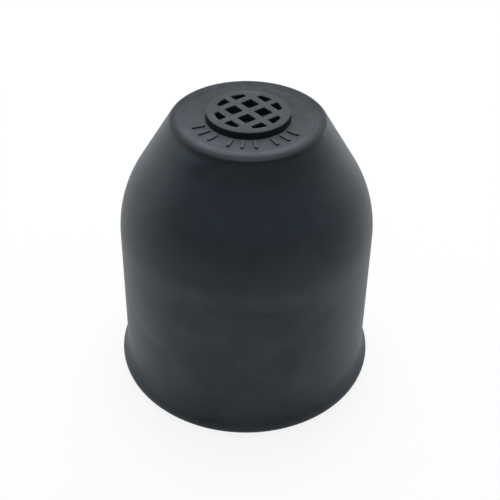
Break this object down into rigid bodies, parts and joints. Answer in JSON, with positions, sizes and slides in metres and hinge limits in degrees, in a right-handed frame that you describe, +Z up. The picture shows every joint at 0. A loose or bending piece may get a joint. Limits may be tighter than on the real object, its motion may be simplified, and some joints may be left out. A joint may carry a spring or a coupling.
{
  "type": "tow ball cover",
  "caption": "Push-on rubber cap for a towing ball, turned shape with a flat top, raised round lattice badge, sloped shoulder and flared rim.",
  "frame": {"origin": "centre of the rim's underside, on the surface that the cover stands on", "axes": "+Z up along the ball's axis, the raised marks on the face towards -Y"},
  "size_m": [0.0588, 0.0588, 0.0655],
  "materials": {
    "rubber": "satin charcoal moulded rubber"
  },
  "bodies": {
    "root": {"cover": "rubber"}
  },
  "joints": []
}
